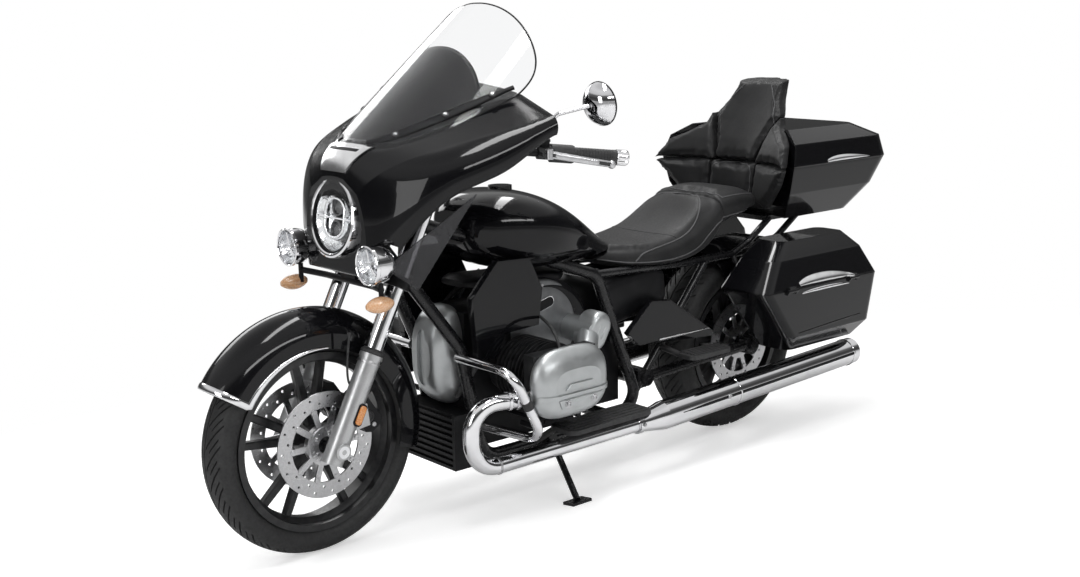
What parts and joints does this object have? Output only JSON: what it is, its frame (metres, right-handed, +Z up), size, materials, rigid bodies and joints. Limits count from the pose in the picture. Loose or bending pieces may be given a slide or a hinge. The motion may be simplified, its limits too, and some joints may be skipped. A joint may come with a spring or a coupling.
{
  "type": "touring cruiser motorcycle",
  "caption": "Touring motorcycle with a flat-twin engine, a fork-mounted fairing with tall screen, hard panniers and a top case, leaning on its side stand.",
  "frame": {"origin": "on the ground under the middle of the machine's box, as it leans on its side stand", "axes": "+X forward, +Y to the rider's left, +Z up; the machine leans 8 degrees towards +Y"},
  "size_m": [2.57, 1.0224, 1.4828],
  "materials": {
    "tyre": "satin black rubber",
    "cast_black": "satin black",
    "disc_steel": "brushed",
    "chrome": "polished",
    "silver_paint": "metallic silver",
    "satin_black": "satin",
    "black_gloss": "high gloss",
    "clear_screen": "clear",
    "smoke_screen": "smoked",
    "amber_lens": "clear amber",
    "red_lens": "clear red",
    "rubber": "matt",
    "frame_black": "gloss",
    "engine_silver": "satin cast",
    "leather": "grained"
  },
  "bodies": {
    "chassis": {"frame": "frame_black", "subframe": "frame_black", "engine_block": "satin_black", "engine_cover": "engine_silver", "oil_cooler": "satin_black", "cylinders": "cast_black", "head_covers": "engine_silver", "intakes": "engine_silver", "exhausts": "chrome", "crash_bars": "chrome", "fuel_tank": "black_gloss", "shrouds": "satin_black", "side_covers": "black_gloss", "rear_arm": "frame_black", "rear_caliper": "satin_black", "rear_mudguard": "black_gloss", "plate_holder": "satin_black", "rider_seat": "leather", "pillion_seat": "leather", "floorboards": "rubber", "passenger_boards": "rubber", "pannier_left": "black_gloss", "pannier_right": "black_gloss", "tail_lamps": "red_lens", "top_case": "black_gloss", "backrest_lower": "leather", "foot_controls": "satin_black"},
    "fork": {"front_axle": "chrome", "fork_legs": "silver_paint", "fork_tubes": "chrome", "steering_yokes": "satin_black", "front_calipers": "satin_black", "front_mudguard": "black_gloss", "headlamp": "chrome", "windscreen": "clear_screen", "fairing": "black_gloss", "instrument_panel": "satin_black", "handlebar": "satin_black", "lamp_bracket": "satin_black", "fog_lamps": "chrome", "turn_signals": "amber_lens", "wind_deflectors": "smoke_screen", "hand_controls": "rubber", "mirrors": "chrome"},
    "front_wheel": {"front_tyre": "tyre", "front_rim": "cast_black", "front_discs": "disc_steel"},
    "rear_wheel": {"rear_tyre": "tyre", "rear_rim": "cast_black", "rear_disc": "disc_steel"},
    "side_stand": {"side_stand": "frame_black"},
    "pannier_lid_left": {"pannier_lid_left": "black_gloss"},
    "pannier_lid_right": {"pannier_lid_right": "black_gloss"},
    "case_lid": {"top_case_lid": "black_gloss", "backrest_upper": "leather"}
  },
  "joints": [
    {"name": "steering", "type": "hinge", "parent": "chassis", "child": "fork", "pos_m": [0.68922, -0.03819, 0.87232], "axis": [-0.4586, 0.1237, 0.88], "range_deg": [-33, 33]},
    {"name": "front_spin", "type": "hinge", "parent": "fork", "child": "front_wheel", "pos_m": [0.96, -0.11545, 0.32258], "axis": [0, 0.9903, -0.1392], "continuous": true},
    {"name": "rear_spin", "type": "hinge", "parent": "chassis", "child": "rear_wheel", "pos_m": [-0.735, -0.1161, 0.31798], "axis": [0, 0.9903, -0.1392], "continuous": true},
    {"name": "stand_fold", "type": "hinge", "parent": "chassis", "child": "side_stand", "pos_m": [0.2, 0.01423, 0.15313], "axis": [0.1205, 0.6506, 0.7498], "range_deg": [0, 98.9]},
    {"name": "left_pannier_lid", "type": "hinge", "parent": "chassis", "child": "pannier_lid_left", "pos_m": [-0.793, 0.31271, 0.50502], "axis": [-1, 0, 0], "range_deg": [0, 80]},
    {"name": "right_pannier_lid", "type": "hinge", "parent": "chassis", "child": "pannier_lid_right", "pos_m": [-0.793, -0.47673, 0.61597], "axis": [1, 0, 0], "range_deg": [0, 80]},
    {"name": "case_lid", "type": "hinge", "parent": "chassis", "child": "case_lid", "pos_m": [-1.0075, -0.33274, 0.97946], "axis": [1, 0, 0], "range_deg": [0, 70]}
  ]
}
